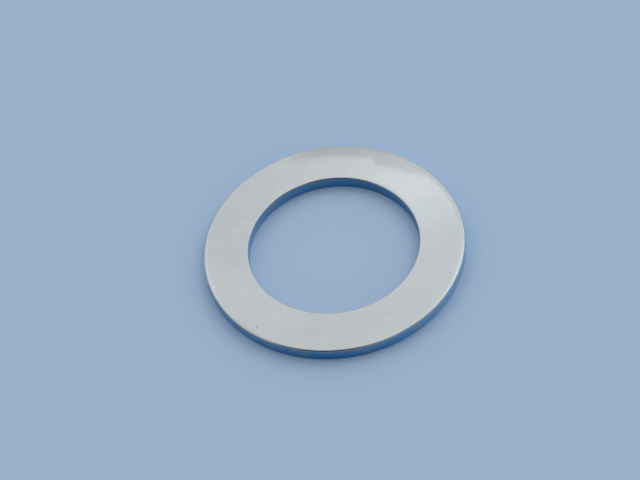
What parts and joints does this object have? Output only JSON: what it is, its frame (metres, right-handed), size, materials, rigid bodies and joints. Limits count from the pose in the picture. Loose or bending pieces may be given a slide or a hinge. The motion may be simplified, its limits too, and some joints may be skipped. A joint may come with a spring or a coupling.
{
  "type": "bearing shim",
  "caption": "Flat ground-steel ring with a plain round bore and a softly rounded rim, laid beside a bearing to take up axial play.",
  "frame": {"origin": "on the ring's axis, in the plane of the lower face that it lies on", "axes": "+Z along the ring's axis, from the lower face to the upper face; X and Y are free, because the ring is round"},
  "size_m": [0.0615, 0.0614, 0.0032],
  "materials": {
    "ground_steel": "fine ground faces with a soft satin sheen, turned bore and rim"
  },
  "bodies": {
    "root": {"shim_ring": "ground_steel"}
  },
  "joints": []
}
